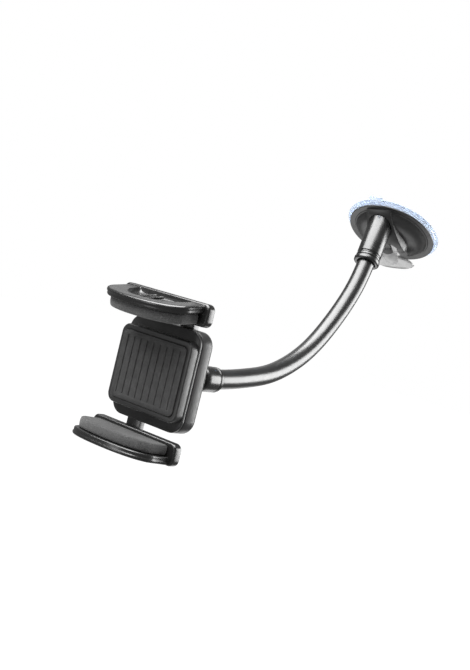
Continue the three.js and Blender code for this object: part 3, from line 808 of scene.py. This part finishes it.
def at_screws(radius, y0, y1, sides):
    return [bar_y(radius, y0, y1, x, z, sides) for x, z in SCREWS.values()]


def rear_housing():
    """The back shell with its threaded ball boss, screw posts, slots for the slides and grips."""
    edge = [(3.4 - 3.4 * math.cos(a), 13.6 + 3.4 * math.sin(a)) for a in np.linspace(0, math.pi / 2, 8)]
    body = shell(HOUSING_HALF, 8, [(0.5, 7.7), (0.15, 7.85), (0, 8.2), *edge])
    body = cut(body, prism(rounded_rect(-25, 25, -25, 25, 6), 7, 14.8, "Y"))
    boss = lathe_y(soften([(0, 14), (15, 14), (15, 17.1), (12, 17.6), (12, 24.5), (0, 24.5)],
                          [0, 0.2, 0.5, 1.2, 0.4, 0], closed=False))
    well = bar_y(10.5, 13, 17)
    body = join(body, boss, well, *at_screws(3.2, 7.7, 16, 32))
    for x0, x1 in ((-19, -15.5), (15.5, 19)):
        for z in (-6, 0, 6):
            body = join(body, eased(prism(rounded_rect(x0, x1, z - 1, z + 1, 0.9), 16.5, 17.6, "Y"), 0.3))
    bowl = [(CUP_RADIUS * math.sin(a), BALL_BACK - CUP_RADIUS * math.cos(a))
            for a in np.linspace(0.12, math.pi / 2, 14)]
    cup = lathe_y([(0, BALL_BACK - CUP_RADIUS), *bowl, (CUP_RADIUS, 26), (0, 26)], 72)
    slots = [block(3.6, 17.4, 8.8, 13.2, 20, 30), block(-17.4, -3.6, 8.8, 13.2, -30, -20)]
    axle_hole = bar_y(1.6, 10, 14.2, sides=24)
    body = cut(body, cup, axle_hole, *at_screws(1.5, 5, 20, 20), *at_screws(2.8, 15, 20, 32), *slots)
    piece("rear_housing_shell", eased(body, 0.25, 2), CRADLE_AT, "cradle", SATIN,
          ["rear_housing"], 38)


def front_cover():
    """The front shell with its raised frame round the rest."""
    plate = shell(HOUSING_HALF, 8, [(0.4, 5.6), (0.1, 5.75), (0, 6.1), (0, 7.1), (0.4, 7.4)])
    island = eased(prism(rounded_rect(-26.7, 26.7, -21.3, 21.3, 5), 0.6, 6.2, "Y"), 0.7, 4)
    body = cut(join(plate, island), prism(rounded_rect(-24.3, 24.3, -18.6, 18.6, 3.3), -1, 1.8, "Y"),
               prism(rounded_rect(-18.6, 18.6, -18.5, 18.5, 3), 3.4, 9, "Y"))
    body = cut(join(body, bar_y(3.4, 3, 7.4, sides=32)), bar_y(1.6, 4.6, 9, sides=24),
               *at_screws(1.5, 3, 9, 20))
    piece("front_cover_shell", eased(body, 0.15, 2), CRADLE_AT, "cradle", SATIN,
          ["front_cover"], 38)


def front_pad():
    """The grooved rubber rest for the phone's back."""
    body = prism(rounded_rect(-24, 24, -18.3, 18.3, 3), 0, 1.5, "Y")
    grooves = [block(x - 0.45, x + 0.45, -1, 0.45, -15.5, 15.5) for x in np.arange(-20, 20.1, 5)]
    body = eased(cut(body, *grooves), 0.18, 2)
    obj = piece("front_pad_mat", body, CRADLE_AT, "cradle", RUBBER, ["front_pad"], 38)


def housing_screws():
    """Round heads with a cross recess."""
    profile = soften([(0, 3.4), (1.2, 3.4), (1.2, 15.3), (2.4, 15.3), (2.4, 15.9), (1.6, 16.6), (0, 16.75)],
                     [0, 0.1, 0.1, 0.1, 0.3, 0.5, 0], closed=False)
    for number in sorted(SCREWS):
        x, z = SCREWS[number]
        head = lathe_y(profile, 40)
        head.data.transform(Matrix.Translation((x, 0, z)))
        cross = join(block(x - 1.3, x + 1.3, 15.9, 17.5, z - 0.28, z + 0.28),
                     block(x - 0.28, x + 0.28, 15.9, 17.5, z - 1.3, z + 1.3))
        piece(f"screw_{number}", cut(head, cross), CRADLE_AT, "cradle", STEEL,
              [f"housing_screw_{number}"])


# ---------------------------------------------------------------- jaws
JAW_REACH, JAW_PLATE, JAW_HALF_WIDTH = 42.2, 5.2, 32.5
LIP_HALF_WIDTH, LIP_FRONT, LIP_STRAIGHT, LIP_ROUNDNESS = 29.5, -24.5, -10.0, 2.3
UPPER_TILT, LOWER_TILT = math.radians(10), math.radians(3)
RACK_FRONT, RACK_BACK, PITCH_RADIUS, TEETH = 9.2, 12.8, 5.0, 10
RACK_CREST, RACK_ROOT, RACK_EDGE, RACK_END = 4.2, 6.1, 16, -15


def lip_outline(inset, back, steps=72):
    """Straight sides and a superellipse front, counter-clockwise from the right back corner."""
    half = LIP_HALF_WIDTH - inset
    depth = LIP_STRAIGHT - LIP_FRONT - inset
    points = [(half, back)]
    for a in np.linspace(0, math.pi, steps + 1):
        c, s = math.cos(a), math.sin(a)
        points.append((half * math.copysign(abs(c) ** (2 / LIP_ROUNDNESS), c),
                       LIP_STRAIGHT - depth * max(s, 0) ** (2 / LIP_ROUNDNESS)))
    points.append((-half, back))
    return points[::-1]


def lean(tilt):
    """From under a flat outer face to its leaning place on a jaw."""
    return (Matrix.Translation((0, JAW_PLATE, JAW_REACH)) @ Matrix.Rotation(tilt, 4, "X")
            @ Matrix.Translation((0, -JAW_PLATE, 0)))


def finger_hold():
    """What is cut from a lip's outer face: a D-shaped hollow with a soft floor and two low ribs."""
    corner = 1.6  # at the ends of the straight back edge
    rings = []
    for inset, z in ((-0.5, 1.0), (-0.45, 0.05), (0.0, -0.35), (0.35, -1.4), (0.9, -2.1), (2.2, -2.6)):
        half, front, back = 19.5 - inset, 18.6 - inset, 1.2 - inset
        path = []
        for a in np.linspace(math.pi, 0, 40):
            c, s = math.cos(a), math.sin(a)
            path.append((half * math.copysign(abs(c) ** 0.86, c),
                         back - corner - (front + back - corner) * max(s, 0) ** 0.9))
        path += [(half - corner, back), (-half + corner, back)]
        rings.append([(x, y, z) for x, y in path])
    hollow = skin(rings[::-1])
    ribs = []
    for x in (-7.4, -2.2):
        ribs.append(eased(prism(rounded_rect(x - 1.3, x + 1.3, -20, 2, 0.9), -3, -1.5), 0.7, 5))
    return cut(hollow, *ribs)


def rack(top):
    """The toothed slide that the pinion drives."""
    pitch = 2 * math.pi * PITCH_RADIUS / TEETH
    points = [(RACK_EDGE, RACK_END), (RACK_EDGE, top), (RACK_ROOT, top)]
    for i in range(4, -5, -1):
        middle = (i - 0.5) * pitch
        if middle - 0.8 > RACK_END:
            points += [(RACK_ROOT, middle + 0.8), (5, middle + 0.62), (RACK_CREST, middle + 0.35),
                       (RACK_CREST, middle - 0.35), (5, middle - 0.62), (RACK_ROOT, middle - 0.8)]
    points.append((RACK_ROOT, RACK_END))
    return prism(points, RACK_FRONT, RACK_BACK, "Y")


def jaw(name, node, at, body, tilt):
    """A claw: an upright back plate, a rounded lip leaning forward from it, and its slide."""
    rim = [  # inset, depth
        (3.0, 0), (1.3, -0.02), (0.75, -0.12), (0.35, -0.38), (0.1, -0.8), (0.0, -1.3), (0.08, -1.7),
        (0.3, -2.0), (0.42, -2.5), (0.3, -3.1), (0.34, -3.5), (0.6, -3.95), (1.1, -4.2)]
    rings = [[(x, y, z) for x, y in lip_outline(inset, JAW_PLATE - 0.6)] for inset, z in rim]
    lip = cut(skin(rings[::-1]), finger_hold())
    lip.data.transform(lean(tilt))
    plate = eased(prism(rounded_rect(-JAW_HALF_WIDTH, JAW_HALF_WIDTH, JAW_REACH - 12, JAW_REACH, 3.6, 10),
                        0, JAW_PLATE, "Y"), 1.1, 5)
    top = JAW_REACH - 1.2
    riser = block(RACK_ROOT, RACK_EDGE, JAW_PLATE - 1, RACK_BACK, 36, top)
    whole = eased(join(plate, lip, riser, rack(top)), 0.2, 2)
    piece(name, whole, at, body, GLOSS, [node], 40)


def foam(name, node, at, body, tilt):
    """A soft pad under the lip, a little fuller in the middle of its sides."""
    top, thick = -4.5, 5.6
    back = JAW_PLATE - (JAW_PLATE + 0.3 - (top - thick) * math.sin(tilt)) / math.cos(tilt)
    side = [  # inset, drop
        (6, 0), (1.0, 0), (0.35, 0.1), (0.05, 0.6), (-0.1, 1.6), (-0.18, 2.8), (-0.1, 4.0),
        (0.1, 4.9), (0.45, 5.35), (1.1, 5.6), (4, 5.68), (9, 5.72)]
    most = side[-1][1]
    rings = []
    for inset, drop in side:
        edge = back - max(inset, 0) * 0.5
        rings.append([(x, y, top - drop * thick / most) for x, y in lip_outline(2.5 + inset, edge)])
    pad = skin(rings[::-1])
    pad.data.transform(lean(tilt))
    obj = piece(name, pad, at, body, FOAM, [node], 60)


# ---------------------------------------------------------------- assembly
def paint_cad_nodes():
    """The CAD pieces that stay are small parts, mostly inside."""
    finishes = {"white_nylon": NYLON, "steel": STEEL, "satin_black": SATIN}
    slots = {s["node"]: s["material_slot"] for s in frame["record"]["subparts"]}
    for name, obj in frame["nodes"].items():
        if slots[name] in finishes:
            obj.data.materials.clear()
            obj.data.materials.append(finishes[slots[name]])


camera()
studio()
paint_cad_nodes()
suction_cup()
base_cover()
neck()
lever()
arm()
ferrule_and_stud()
lock_nut()
rear_housing()
front_cover()
front_pad()
housing_screws()
jaw("upper_jaw_claw", "upper_jaw", UPPER_AT, "upper_slide", UPPER_TILT)
jaw("lower_jaw_claw", "lower_jaw", LOWER_AT, "lower_slide", LOWER_TILT)
foam("upper_foam_pad", "upper_foam", UPPER_AT, "upper_slide", UPPER_TILT)
foam("lower_foam_pad", "lower_foam", LOWER_AT, "lower_slide", LOWER_TILT)
